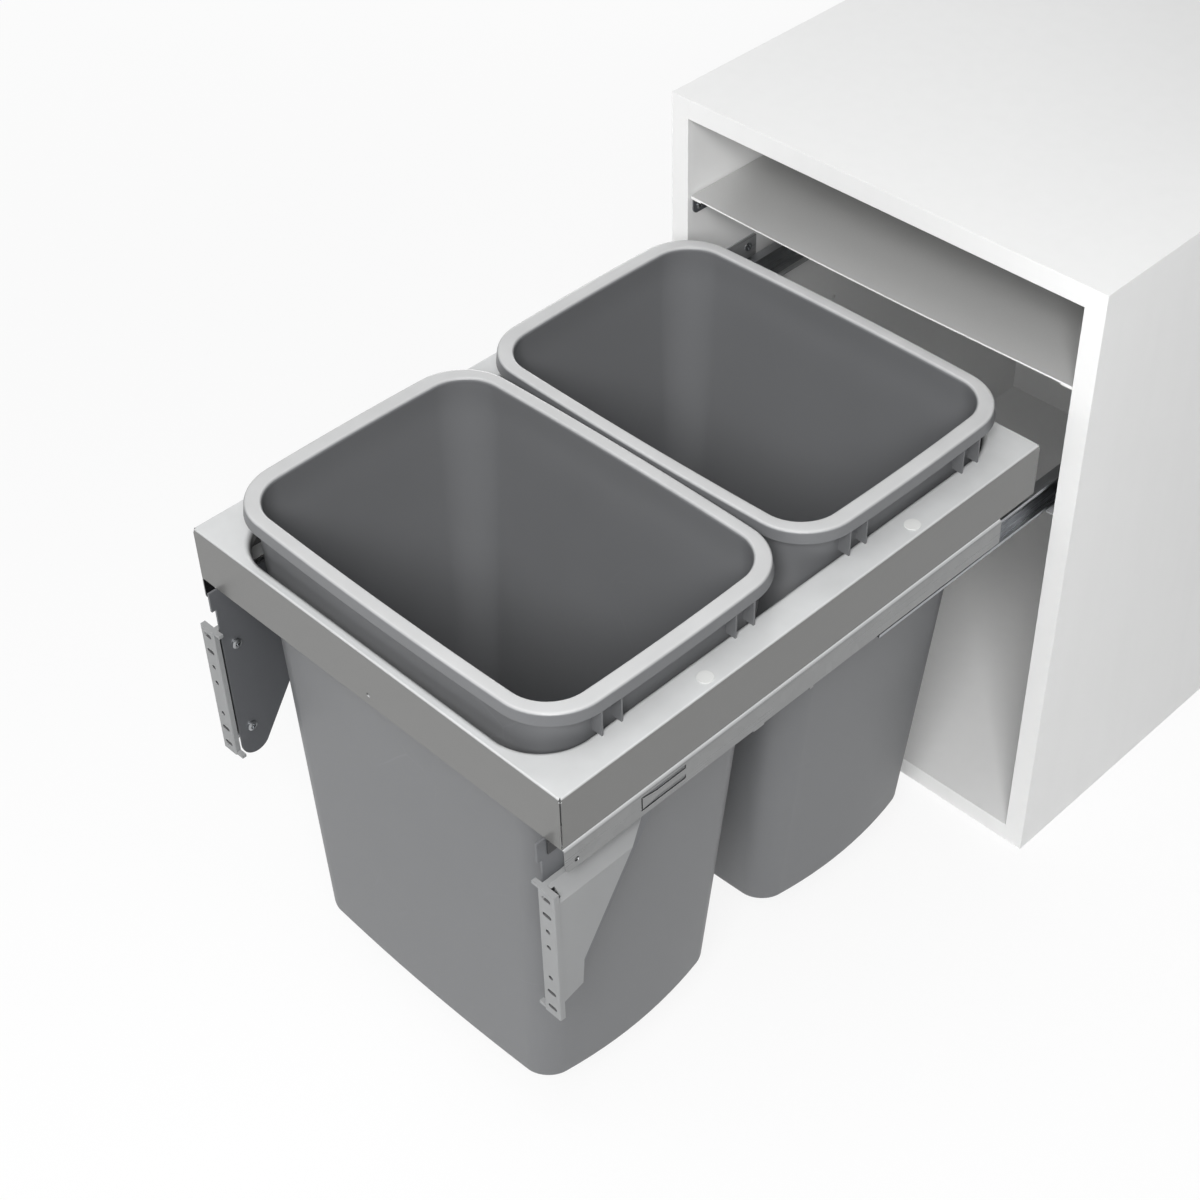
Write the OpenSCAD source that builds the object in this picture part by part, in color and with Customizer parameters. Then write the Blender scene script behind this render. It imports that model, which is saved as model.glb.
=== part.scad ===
// Pull out waste bin cabinet: a board carcass with a full-extension tray that carries two bins.
// Origin at the centre of the carcass's underside. The front faces -Y, and Z is up.
// The tray is drawn fully pulled out.

/* [Carcass] */
// Outer width of the carcass
carcass_width = 450; // [400:1:600]
// Outer height of the carcass
carcass_height = 620; // [590:1:760]
// Depth of the carcass, front edge to rear edge
carcass_depth = 580; // [575:1:640]
// Thickness of the side, top and bottom boards
board = 19; // [16:0.5:22]
// Thickness of the back panel
back_board = 8; // [5:0.5:10]
// Distance from the rear edge to the back panel
back_inset = 18; // [12:1:18]
// Depth of the groove that holds the back panel
groove_depth = 8; // [4:0.5:9]
// Diameter of the dowels between the boards
dowel_d = 8; // [6:0.5:9]
// Length of the dowels
dowel_length = 30; // [26:1:34]

/* [Lid shelf] */
// Sheet thickness of the lid shelf
lid_sheet = 1.5; // [1:0.1:2]
// How far the lid shelf's front edge bows forward at its middle
lid_bow = 3; // [1:0.5:3]
// Clearance between the bins' rims and the folded hems of the lid shelf
lid_gap = 2; // [1:0.1:4]
// Depth of the lid shelf
lid_depth = 530; // [500:1:545]
// Distance of the lid shelf from the front edges of the carcass
lid_setback = 3; // [1:0.5:6]
// Width of the hems folded under the lid shelf's sides
lid_hem = 12; // [8:1:16]
// Length of a lid bracket, front to back
lid_bracket_length = 25; // [20:1:32]
// Width of a lid bracket's two legs
lid_bracket_leg = 17; // [14:1:20]

/* [Tray] */
// Distance from the carcass's top down to the tray's deck
deck_drop = 137; // [130:1:150]
// Sheet thickness of the tray
tray_sheet = 1.2; // [0.8:0.1:1.6]
// Height of the tray's skirts
skirt_height = 50; // [40:1:60]
// Width of the deck beside the opening
deck_side_margin = 29.5; // [27:0.5:34]
// Width of the deck in front of the opening
deck_front_margin = 10; // [8:0.5:12]
// Corner radius of the opening
opening_radius = 45; // [38:1:50]
// Depth of the lip turned down round the opening
lip_depth = 9; // [8:0.5:14]
// Outer radius of the bend between the deck and the lip
lip_bend = 5.5; // [3:0.5:6]
// Outer radius of the tray's other bends
tray_bend = 1.8; // [1.5:0.1:2.4]
// Width of the flanges under the tray, which rest on the drawer rails
foot_flange = 14; // [12:0.5:16]
// Diameter of the round caps in the deck
cap_d = 13.2; // [11:0.2:14]

/* [Bins] */
// Length of a bin's rim, front to back, at its middle
bin_length = 255; // [230:1:260]
// Height of a bin's rim above the tray's deck
rim_rise = 36; // [30:1:40]
// Height of the bins' undersides above the carcass's underside
bin_lift = 76; // [60:1:140]
// Wall thickness of a bin
bin_wall = 2.5; // [1.8:0.1:3]
// How far the rim stands out from the wall at the bins' long faces
rim_overhang = 8; // [7:0.5:9]
// How far the rim stands out from the wall at the bins' short sides
rim_side_overhang = 10.5; // [9:0.5:12]
// How far the rim stands in over the wall's inner face
rim_inner_lip = 2.5; // [1.5:0.5:4]
// Depth of the rim's turned-down side
rim_drop = 11; // [9:0.5:14]
// How far the rim's lower edge flares out
rim_flare = 1; // [0.5:0.1:1.5]
// Outer corner radius of the rim
rim_radius = 45; // [36:1:48]
// Draw-in of the short sides from the deck down to the bottom
side_taper = 24; // [18:1:30]
// Draw-in of the long sides from the deck down to the bottom
face_taper = 19; // [12:1:24]
// Outward bow of the short sides at the bottom
bottom_bow = 12; // [4:0.5:14]
// How far the bins' undersides stand forward of their mouths
bottom_shift = 18; // [0:1:18]
// Gap between the two rims at their middle
rim_gap = 3; // [2:0.5:5]

/* [Runners] */
// Travel of the tray from open to closed
travel = 560; // [480:1:563]
// Length of the cabinet rails
cabinet_rail_length = 540; // [520:1:548]
// Length of the middle rails
middle_rail_length = 470; // [440:1:480]
// Length of the drawer rails
drawer_rail_length = 481; // [450:1:490]
// Sheet thickness of the drawer and middle rails
rail_sheet = 1.2; // [1:0.1:1.5]
// Sheet thickness of the cabinet rails
wall_rail_sheet = 1.5; // [1.2:0.1:1.8]
// Height of the drawer rail's outer leg
outer_leg_height = 24; // [20:0.5:25]
// Outer radius of the drawer rail's upper bend
rail_bend = 4; // [2.5:0.5:5]
// Height of the drawer rail's inner leg
inner_leg_height = 17; // [14:0.5:18]
// Width of the drawer rail
drawer_rail_width = 18.4; // [18:0.1:20]
// Height of the middle rail
middle_rail_height = 28; // [26:0.2:28.2]
// Diameter of the balls between the rails
ball_d = 4; // [3:0.5:4.5]

/* [Front brackets] */
// Distance from the tray's front to the face that carries the door front
strip_lead = 10; // [9:0.5:14]
// Height of the strip with the holes
strip_height = 138; // [134:1:150]
// Width of the strip
strip_width = 16.5; // [15:0.5:17]
// Depth of the strip
strip_depth = 5; // [4.5:0.5:7]
// Width and height of the slope along the bracket's upper edge
shoulder = 11; // [8:0.5:12]
// Spacing of the holes in the strip
hole_pitch = 17.3; // [15:0.1:17.5]
// Diameter of the round holes and width of the slots
strip_hole_d = 4.5; // [3.5:0.5:5]
// Length of the slots in the strip
slot_length = 9; // [7:0.5:10]
// Thickness of the steel arm plates
arm_sheet = 2; // [1.5:0.1:2.5]
// Wall thickness of the brackets
shell = 2.4; // [2:0.1:3]
// Height adjustment each way
adjust_reach = 2; // [1:0.5:2.5]

/* [Hidden] */

$fn = 48;

// Overrun of every cut, running clearance of pins in holes, and the gap under a piece that rests on another
cut = 1;
fit_gap = 0.05;
seat_gap = 0.3;

// Carcass planes
front = -carcass_depth / 2;
inner = carcass_width / 2 - board;
back_face = carcass_depth / 2 - back_inset - back_board;

// Door gap, and the plane of the strips' faces with the tray pulled out
door_gap = 2;
strip_face = front - door_gap - travel;
tray_front = strip_face + strip_lead;

// Runner section, from the side board inwards
rail_gap = 1.3;
tray_inset = 1.2;
leg_outer = inner - wall_rail_sheet - rail_gap;
leg_inner = leg_outer - drawer_rail_width;
rail_space = 4;
middle_inner = leg_inner + rail_sheet + rail_space;
flange_relief = 0.5;
middle_outer_gap = 2;
middle_outer = leg_outer - rail_sheet - middle_outer_gap;
tray_half = leg_outer - tray_inset;

// Runner section, from the tray's foot downwards
ball_play = 0.2;
deck_height = carcass_height - deck_drop;
rail_top = deck_height - skirt_height;
middle_top = rail_top - rail_sheet - ball_d - ball_play;
middle_bottom = middle_top - middle_rail_height;
wall_flange_top = middle_bottom - ball_d - ball_play;
wall_rail_bottom = wall_flange_top - wall_rail_sheet;

// Places of the rails along the travel
wall_rail_setback = 2;
middle_rail_setback = 66.5;
drawer_rail_lead = 1;
wall_rail_y = front + wall_rail_setback;
middle_rail_y = front + middle_rail_setback - travel / 2;
drawer_rail_y = tray_front + drawer_rail_lead;

// Bins and the tray round them
rim_to_tray_front = 11;
rim_to_tray_back = 1;
bin_side_gap = 1.5;
tray_length = rim_to_tray_front + 2 * bin_length + rim_gap + rim_to_tray_back;
opening_half = tray_half - deck_side_margin;
opening_front = tray_front + deck_front_margin;
opening_back = tray_front + tray_length - rim_to_tray_back - rim_overhang + bin_side_gap;
bin_wall_half = opening_half - bin_side_gap;
rim_half = bin_wall_half + rim_side_overhang;
front_bin_y = tray_front + rim_to_tray_front + bin_length / 2;
rear_bin_y = front_bin_y + bin_length + rim_gap;
rim_top = deck_height + rim_rise;
bin_height = rim_top - bin_lift;
lid_top = rim_top + lid_gap + 2 * lid_sheet;

// A plate of thickness t whose outline is drawn in the Y and Z directions, with its lower face at x
module upright_plate(x, t) {
    translate([x, 0, 0]) rotate([90, 0, 90]) linear_extrude(t) children();
}

// A plate of thickness t whose outline is drawn in the X and Z directions, with its front face at y
module facing_plate(y, t) {
    translate([0, y + t, 0]) rotate([90, 0, 0]) linear_extrude(t) children();
}

// A rectangle with round corners, its lower left corner at the origin
module rounded_rectangle(size, r) {
    translate([r, 0]) square([size[0] - 2 * r, size[1]]);
    translate([0, r]) square([size[0], size[1] - 2 * r]);
    for (x = [r, size[0] - r], y = [r, size[1] - r]) translate([x, y]) circle(r);
}

// A slot with round ends, centred, along the first axis
module slot_outline(length, width) {
    square([length - width, width], center = true);
    for (side = [-1, 1]) translate([side * (length - width) / 2, 0]) circle(width / 2);
}

// The section of a quarter bend in the first quadrant, its centre at the origin
module quarter_bend(outer, sheet) {
    intersection() {
        difference() {
            circle(outer);
            circle(outer - sheet);
        }
        square(outer);
    }
}

// A cylinder along X from x, of length l
module rod_x(x, y, z, d, l) {
    translate([x, y, z]) rotate([0, 90, 0]) cylinder(h = l, d = d);
}

// A pan-head screw with a cross recess, its seat at the origin and its shank along -Z
module pan_screw(head_d, head_h, shank_d, shank_l) {
    recess_width_share = 0.14;
    recess_length_share = 0.56;
    recess_depth_share = 0.6;
    difference() {
        union() {
            cylinder(h = head_h * recess_depth_share, d = head_d);
            translate([0, 0, head_h * recess_depth_share])
                cylinder(h = head_h * (1 - recess_depth_share),
                    d1 = head_d, d2 = head_d * recess_length_share);
            translate([0, 0, -shank_l]) cylinder(h = shank_l, d = shank_d);
        }
        for (turn = [0, 90]) rotate(turn)
            translate([0, 0, head_h * (1.5 - recess_depth_share)])
                cube([head_d * recess_length_share, head_d * recess_width_share, head_h], center = true);
    }
}

// Carcass

// Dowel places: front to back along the joint, and the ends of the boards they enter
dowel_inset = 60;
dowel_count = 3;
dowel_in_side = 12;
dowel_end_gap = 1;
dowel_ys = [for (i = [0:dowel_count - 1])
    front + dowel_inset + i * (back_face - front - 2 * dowel_inset) / (dowel_count - 1)];
dowel_zs = [board / 2, carcass_height - board / 2];

// Rail screws: places on the two mounting tabs of a cabinet rail
tab_length = 46;
tab_rise = 52.4;
tab_inset = 43;
tab_spacing = 287;
tab_ys = [wall_rail_y + tab_inset, wall_rail_y + tab_inset + tab_spacing];
tab_hole_inset = 11;
rail_screw_d = 5;
rail_screw_length = 13;
rail_screw_head_d = 8.5;
rail_screw_head_h = 1;
rail_screw_z = wall_rail_bottom + tab_rise - tab_hole_inset;
rail_screw_ys = [for (y = tab_ys, end = [tab_hole_inset, tab_length - tab_hole_inset]) y + end];

// Lid brackets
lid_bracket_sheet = 1.5;
lid_bracket_top = rim_top + lid_gap;
lid_bracket_inset = 3;
lid_bracket_ys = [front + lid_setback + lid_bracket_inset,
    front + lid_setback + lid_depth - lid_bracket_length - lid_bracket_inset];
lid_screw_d = 3.5;
lid_screw_length = 12;
lid_screw_y_shares = [0.27, 0.73];
lid_screw_z_share = 0.62;
lid_screw_ys = [for (y = lid_bracket_ys, share = lid_screw_y_shares) y + lid_bracket_length * share];
lid_screw_z = lid_bracket_top - lid_bracket_leg * lid_screw_z_share;
lid_screw_head_d = 6;
lid_screw_head_h = 1.6;

// Spare row of fixing holes in the side boards
spare_hole_d = 5;
spare_hole_depth = 12;
spare_hole_inset = 212;
spare_hole_drop = 80.6;
spare_hole_pitch = 32;
spare_hole_y = front + spare_hole_inset;
spare_hole_zs = [for (i = [0:1]) wall_rail_bottom - spare_hole_drop + i * spare_hole_pitch];

module side_board_right() {
    color("white") difference() {
        translate([inner, front, 0]) cube([board, carcass_depth, carcass_height]);
        translate([inner - cut, back_face, board - groove_depth])
            cube([groove_depth + cut, back_board, carcass_height - 2 * (board - groove_depth)]);
        for (y = dowel_ys, z = dowel_zs)
            rod_x(inner - cut, y, z, dowel_d + 2 * fit_gap, dowel_in_side + dowel_end_gap + cut);
        for (y = rail_screw_ys)
            rod_x(inner - cut, y, rail_screw_z, rail_screw_d + 2 * fit_gap, rail_screw_length + cut);
        for (y = lid_screw_ys)
            rod_x(inner - cut, y, lid_screw_z, lid_screw_d + 2 * fit_gap, lid_screw_length + cut);
        for (z = spare_hole_zs)
            rod_x(inner - cut, spare_hole_y, z, spare_hole_d, spare_hole_depth + cut);
    }
}

module side_board_left() {
    mirror([1, 0, 0]) side_board_right();
}

// A board between the sides, with the back panel's groove on its inner face
module cross_board(z, groove_z) {
    difference() {
        translate([-inner, front, z]) cube([2 * inner, carcass_depth, board]);
        translate([-inner - cut, back_face, groove_z])
            cube([2 * (inner + cut), back_board, groove_depth + cut]);
        for (side = [0, 1], y = dowel_ys) mirror([side, 0, 0])
            rod_x(inner - (dowel_length - dowel_in_side) - dowel_end_gap, y, z + board / 2,
                dowel_d + 2 * fit_gap, dowel_length);
    }
}

module top_board() {
    color("white") cross_board(carcass_height - board, carcass_height - board - cut);
}

module bottom_board() {
    color("white") cross_board(0, board - groove_depth);
}

module back_panel() {
    panel_play = 0.5;
    color("whitesmoke")
        translate([-inner - groove_depth + panel_play, back_face + fit_gap,
                board - groove_depth + panel_play])
            cube([2 * (inner + groove_depth - panel_play), back_board - 2 * fit_gap,
                carcass_height - 2 * (board - groove_depth + panel_play)]);
}

module board_dowels() {
    color("burlywood") for (side = [0, 1], y = dowel_ys, z = dowel_zs) mirror([side, 0, 0])
        rod_x(inner - (dowel_length - dowel_in_side), y, z, dowel_d, dowel_length);
}

// Lid shelf

module lid_shelf() {
    lid_side_gap = 1;
    lid_half = inner - lid_side_gap;
    bow_steps = 16;
    color("silver") translate([0, front + lid_setback, 0]) {
        translate([0, 0, lid_top - lid_sheet]) linear_extrude(lid_sheet)
            polygon([
                for (i = [-bow_steps:bow_steps]) let (share = i / bow_steps)
                    [lid_half * share, -lid_bow * (1 - share * share)],
                [lid_half, lid_depth],
                [-lid_half, lid_depth]]);
        for (side = [0, 1]) mirror([side, 0, 0])
            translate([lid_half - lid_hem, 0, lid_bracket_top]) cube([lid_hem, lid_depth, lid_sheet]);
    }
}

// One lid bracket on the right side board, its front end at y
module lid_bracket(y) {
    corner = 5;
    difference() {
        union() {
            upright_plate(inner - lid_bracket_sheet, lid_bracket_sheet)
                translate([y, lid_bracket_top - lid_bracket_leg])
                union() {
                    rounded_rectangle([lid_bracket_length, lid_bracket_leg], corner);
                    translate([0, corner]) square([lid_bracket_length, lid_bracket_leg - corner]);
                }
            translate([inner - lid_bracket_leg, y, lid_bracket_top - lid_bracket_sheet])
                linear_extrude(lid_bracket_sheet) {
                    rounded_rectangle([lid_bracket_leg, lid_bracket_length], corner);
                    translate([corner, 0]) square([lid_bracket_leg - corner, lid_bracket_length]);
                }
        }
        for (at = lid_screw_ys)
            rod_x(inner - lid_bracket_sheet - cut, at, lid_screw_z, lid_screw_d + 2 * fit_gap,
                lid_bracket_sheet + 2 * cut);
    }
}

module lid_brackets() {
    color("dimgray") for (side = [0, 1], y = lid_bracket_ys) mirror([side, 0, 0]) lid_bracket(y);
}

module lid_bracket_screws() {
    color("lightgray") for (side = [0, 1], y = lid_screw_ys) mirror([side, 0, 0])
        translate([inner - lid_bracket_sheet, y, lid_screw_z]) rotate([0, -90, 0])
            pan_screw(lid_screw_head_d, lid_screw_head_h, lid_screw_d, lid_screw_length);
}

// Runners

module cabinet_rail_right() {
    web_height = 24;
    tab_corner = 4;
    color("slategray") difference() {
        union() {
            upright_plate(inner - wall_rail_sheet, wall_rail_sheet) {
                translate([wall_rail_y, wall_rail_bottom]) square([cabinet_rail_length, web_height]);
                for (y = tab_ys) translate([y, wall_rail_bottom])
                    rounded_rectangle([tab_length, tab_rise], tab_corner);
            }
            translate([middle_inner - flange_relief, wall_rail_y, wall_rail_bottom])
                cube([inner - middle_inner + flange_relief, cabinet_rail_length, wall_rail_sheet]);
        }
        for (y = rail_screw_ys)
            rod_x(inner - wall_rail_sheet - cut, y, rail_screw_z, rail_screw_d + 2 * fit_gap,
                wall_rail_sheet + 2 * cut);
    }
}

module cabinet_rail_left() {
    mirror([1, 0, 0]) cabinet_rail_right();
}

module cabinet_rail_screws() {
    color("lightgray") for (side = [0, 1], y = rail_screw_ys) mirror([side, 0, 0])
        translate([inner - wall_rail_sheet, y, rail_screw_z]) rotate([0, -90, 0])
            pan_screw(rail_screw_head_d, rail_screw_head_h, rail_screw_d, rail_screw_length);
}

module middle_rail_right() {
    lip = 3;
    color("lightsteelblue") translate([0, middle_rail_y, 0]) {
        translate([middle_inner, 0, middle_bottom])
            cube([rail_sheet, middle_rail_length, middle_rail_height]);
        for (z = [middle_bottom, middle_top - rail_sheet]) translate([middle_inner, 0, z])
            cube([middle_outer - middle_inner, middle_rail_length, rail_sheet]);
        for (z = [middle_bottom, middle_top - lip]) translate([middle_outer - rail_sheet, 0, z])
            cube([rail_sheet, middle_rail_length, lip]);
    }
}

module middle_rail_left() {
    mirror([1, 0, 0]) middle_rail_right();
}

// A ball cage that starts at y, with its balls between the planes z and z + ball_d + ball_play
module ball_cage(y, z, ball_count) {
    cage_width = 5;
    cage_sheet = 1.6;
    ball_pitch = 14;
    ball_x = (middle_inner + middle_outer) / 2;
    ball_z = z + (ball_d + ball_play) / 2;
    translate([ball_x - cage_width / 2, y, ball_z - cage_sheet / 2])
        cube([cage_width, ball_count * ball_pitch, cage_sheet]);
    for (i = [0:ball_count - 1])
        translate([ball_x, y + (i + 0.5) * ball_pitch, ball_z]) sphere(d = ball_d);
}

cage_end_gap = 3;
lower_cage_lead = 30;

module upper_cage_right() {
    color("ivory") ball_cage(middle_rail_y + cage_end_gap, middle_top, 10);
}

module upper_cage_left() {
    mirror([1, 0, 0]) upper_cage_right();
}

module lower_cage_right() {
    color("ivory") ball_cage(front + lower_cage_lead, wall_flange_top, 14);
}

module lower_cage_left() {
    mirror([1, 0, 0]) lower_cage_right();
}

// Arm plates: rivets and their outline, measured from the strip's face
arm_lead = 6;
arm_rivet_d = 4;
arm_rivet_inset = 9;
arm_rivet_pitch = 44;
arm_rivet_count = 3;
arm_top_gap = 1;
arm_rivet_lead = 16;
arm_rivet_ys = [for (i = [0:arm_rivet_count - 1])
    strip_face + arm_lead + arm_rivet_lead + i * arm_rivet_pitch];
arm_rivet_z = rail_top - arm_rivet_inset;

// The spring tongue in the drawer rail's outer leg, measured from the rail's front end
tongue_start = 74;
tongue_head = 16;
tongue_stem = 29;
tongue_window_height = 14;
tongue_rise = 5;
tongue_head_height = 11;
tongue_stem_height = 6;
tongue_slit = 1.2;

// Small lugs under the outer leg: their distances from the rail's front end, lengths and drops
stop_lug_start = 190.5;
stop_lug_length = 11.5;
stop_lug_drop = 1.6;
end_lug_start = 252.5;
end_lug_length = 4;
end_lug_drop = 2;

module tongue_cutout() {
    difference() {
        square([tongue_head + tongue_stem, tongue_window_height]);
        polygon([
            [tongue_slit, (tongue_window_height - tongue_head_height) / 2],
            [tongue_slit, (tongue_window_height + tongue_head_height) / 2],
            [tongue_head, (tongue_window_height + tongue_stem_height) / 2],
            [tongue_head + tongue_stem + tongue_slit, (tongue_window_height + tongue_stem_height) / 2],
            [tongue_head + tongue_stem + tongue_slit, (tongue_window_height - tongue_stem_height) / 2],
            [tongue_head, (tongue_window_height - tongue_stem_height) / 2]]);
    }
}

module drawer_rail_right() {
    nose = 4.5;
    catch_hole_d = 4.5;
    catch_hole_y = 11;
    catch_hole_rise = 7.5;
    color("lightgray") difference() {
        translate([0, drawer_rail_y, 0]) union() {
            upright_plate(leg_outer - rail_sheet, rail_sheet) difference() {
                translate([0, rail_top - outer_leg_height]) union() {
                    translate([nose, 0]) square([drawer_rail_length - nose, outer_leg_height - rail_bend]);
                    translate([0, nose]) square([2 * nose, outer_leg_height - rail_bend - nose]);
                    translate([nose, nose]) circle(nose);
                    translate([stop_lug_start, -stop_lug_drop]) square([stop_lug_length, 2 * stop_lug_drop]);
                    translate([end_lug_start, -end_lug_drop]) square([end_lug_length, 2 * end_lug_drop]);
                }
                translate([tongue_start, rail_top - outer_leg_height + tongue_rise]) tongue_cutout();
                translate([catch_hole_y, rail_top - outer_leg_height + catch_hole_rise])
                    circle(d = catch_hole_d);
            }
            translate([leg_outer - rail_bend, drawer_rail_length, rail_top - rail_bend])
                rotate([90, 0, 0]) linear_extrude(drawer_rail_length) quarter_bend(rail_bend, rail_sheet);
            translate([leg_inner, 0, rail_top - rail_sheet])
                cube([drawer_rail_width - rail_bend, drawer_rail_length, rail_sheet]);
            translate([leg_inner, 0, rail_top - inner_leg_height])
                cube([rail_sheet, drawer_rail_length, inner_leg_height]);
        }
        for (y = arm_rivet_ys)
            rod_x(leg_inner - cut, y, arm_rivet_z, arm_rivet_d + 2 * fit_gap, rail_sheet + 2 * cut);
        for (y = tray_screw_ys) translate([tray_screw_x, y, rail_top - rail_sheet - cut])
            cylinder(h = rail_sheet + 2 * cut, d = tray_screw_d + 2 * fit_gap);
    }
}

module drawer_rail_left() {
    mirror([1, 0, 0]) drawer_rail_right();
}

// Tray

tray_screw_d = 4;
tray_screw_head_d = 8;
tray_screw_head_h = 2.4;
tray_screw_inset = 11;
tray_screw_lead = 152;
tray_screw_spacing = 228;
tray_screw_x = tray_half - tray_screw_inset;
tray_screw_ys = [tray_front + tray_screw_lead, tray_front + tray_screw_lead + tray_screw_spacing];
access_hole_d = 8.5;
cap_head_h = 0.8;
cap_stem_wall = 1;
cap_stem_length = 5;

// The lip's section: a quarter bend and a straight leg, drawn with the opening's edge at zero
module lip_section() {
    translate([lip_bend, -lip_bend]) mirror([1, 0]) quarter_bend(lip_bend, tray_sheet);
    translate([0, -lip_depth]) square([tray_sheet, lip_depth - lip_bend]);
}

// The lip round an opening of half width a and half length b, centred
module opening_lip(a, b) {
    r = opening_radius;
    for (side = [0, 1]) {
        mirror([side, 0, 0]) translate([a, b - r, 0]) rotate([90, 0, 0])
            linear_extrude(2 * (b - r)) lip_section();
        mirror([0, side, 0]) translate([-(a - r), b, 0]) rotate([90, 0, 90])
            linear_extrude(2 * (a - r)) lip_section();
    }
    for (side_x = [0, 1], side_y = [0, 1]) mirror([side_x, 0, 0]) mirror([0, side_y, 0])
        translate([a - r, b - r, 0]) rotate_extrude(angle = 90) translate([r, 0]) lip_section();
}

// The tray's shell in section: the skirt of height h with its upper bend, the outer face at zero
module skirt_section(h) {
    translate([tray_bend, h - tray_bend]) mirror([1, 0]) quarter_bend(tray_bend, tray_sheet);
    square([tray_sheet, h - tray_bend]);
}

// The same with a flange turned in at the foot
module footed_section(h) {
    translate([tray_bend, h - tray_bend]) mirror([1, 0]) quarter_bend(tray_bend, tray_sheet);
    translate([0, tray_bend]) square([tray_sheet, h - 2 * tray_bend]);
    translate([tray_bend, tray_bend]) rotate(180) quarter_bend(tray_bend, tray_sheet);
    translate([tray_bend, 0]) square([foot_flange - tray_bend, tray_sheet]);
}

module tray() {
    notch = 3;
    seam = 0.8;
    test_hole_d = 4;
    test_hole_rise = 10;
    opening_length = opening_back - opening_front;
    opening_y = (opening_back + opening_front) / 2;
    color("silver") difference() {
        union() {
            difference() {
                translate([-tray_half + tray_bend, tray_front + tray_bend, deck_height - tray_sheet])
                    cube([2 * (tray_half - tray_bend), tray_length - 2 * tray_bend, tray_sheet]);
                translate([-opening_half - lip_bend, opening_front - lip_bend,
                        deck_height - tray_sheet - cut])
                    linear_extrude(tray_sheet + 2 * cut)
                        rounded_rectangle(
                            [2 * (opening_half + lip_bend), opening_length + 2 * lip_bend],
                            opening_radius + lip_bend);
            }
            translate([0, opening_y, deck_height]) opening_lip(opening_half, opening_length / 2);
            translate([-tray_half + seam, tray_front, rail_top]) rotate([90, 0, 90])
                linear_extrude(2 * (tray_half - seam)) skirt_section(skirt_height);
            translate([tray_half - seam, tray_front + tray_length, rail_top]) rotate([90, 0, -90])
                linear_extrude(2 * (tray_half - seam)) skirt_section(skirt_height);
            for (side = [0, 1]) mirror([side, 0, 0])
                translate([tray_half, tray_front + seam, rail_top]) mirror([1, 0, 0])
                    translate([0, tray_length - 2 * seam, 0]) rotate([90, 0, 0])
                    linear_extrude(tray_length - 2 * seam) footed_section(skirt_height);
        }
        for (side = [0, 1], y = [tray_front, tray_front + tray_length]) mirror([side, 0, 0]) {
            translate([tray_half, y, deck_height]) rotate(45) cube([notch, notch, 2 * notch], center = true);
            translate([tray_half, y, rail_top + skirt_height / 2])
                rotate(y > tray_front ? -135 : 135)
                cube([2 * notch, seam, skirt_height + 2 * cut], center = true);
        }
        translate([0, tray_front - cut, rail_top + test_hole_rise]) rotate([-90, 0, 0])
            cylinder(h = tray_sheet + 2 * cut, d = test_hole_d);
        for (side = [0, 1], y = tray_screw_ys) mirror([side, 0, 0]) {
            translate([tray_screw_x, y, rail_top - cut])
                cylinder(h = tray_sheet + 2 * cut, d = tray_screw_d + 2 * fit_gap);
            translate([tray_screw_x, y, deck_height - tray_sheet - cut])
                cylinder(h = tray_sheet + 2 * cut, d = access_hole_d);
        }
    }
}

module deck_caps() {
    color("gainsboro") for (side = [0, 1], y = tray_screw_ys) mirror([side, 0, 0])
        translate([tray_screw_x, y, deck_height]) {
            cylinder(h = cap_head_h, d = cap_d);
            difference() {
                translate([0, 0, -cap_stem_length])
                    cylinder(h = cap_stem_length, d = access_hole_d - 2 * fit_gap);
                translate([0, 0, -cap_stem_length - cut])
                    cylinder(h = cap_stem_length + cut, d = access_hole_d - 2 * (fit_gap + cap_stem_wall));
            }
        }
}

module tray_screws() {
    color("lightgray") for (side = [0, 1], y = tray_screw_ys) mirror([side, 0, 0])
        translate([tray_screw_x, y, rail_top + tray_sheet])
            pan_screw(tray_screw_head_d, tray_screw_head_h, tray_screw_d, tray_sheet + rail_sheet);
}

// Front brackets and arm plates

strip_drop = 42;
strip_top = rail_top - strip_drop;
strip_bottom = strip_top - strip_height;
hole_rows = [0, 1, 2, 3, 5, 6, 7];
slot_rows = [0, 1, 6, 7];
first_hole_inset = 8;
bracket_play = 0.15;
strip_inner = leg_inner + bracket_play;
strip_outer = strip_inner + strip_width;
web_step = 1;
web_outer = strip_outer - web_step;
bracket_screw_d = 4;
bracket_screw_head_d = 9;
bracket_screw_head_h = 2.6;
bracket_screw_lead = 18;
bracket_screw_drops = [21, 114];
bracket_screw_y = strip_face + bracket_screw_lead;
bracket_screw_zs = [for (drop = bracket_screw_drops) strip_top - drop];
bracket_screw_bite = 9;
boss_d = 9;

// Outline of the bracket behind the strip, counterclockwise from its toe, in Y and Z
web_toe_y = 25;
web_toe_rise = 22;
web_toe_height = 25;
web_toe_lean = 2;
web_heel_rise = 16;
web_knee_y = 78;
web_top_y = 100;
web_outline = [
    [strip_face + web_toe_y, strip_bottom + web_toe_rise],
    [strip_face + web_toe_y + web_toe_lean, strip_bottom + web_toe_rise + web_toe_height],
    [strip_face + web_knee_y, strip_top - shoulder],
    [strip_face + web_top_y, strip_top],
    [strip_face + strip_depth - shell, strip_top],
    [strip_face + strip_depth - shell, strip_bottom + web_heel_rise]];

// The points of a counterclockwise outline moved inwards by t
function inset_outline(points, t) = [
    for (i = [0:len(points) - 1])
        let (
            n = len(points), a = points[(i + n - 1) % n], b = points[i], c = points[(i + 1) % n],
            u = (b - a) / norm(b - a), v = (c - b) / norm(c - b),
            inward = [-u[1] - v[1], u[0] + v[0]]
        )
        b + t * inward / (1 + u * v)
];

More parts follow.
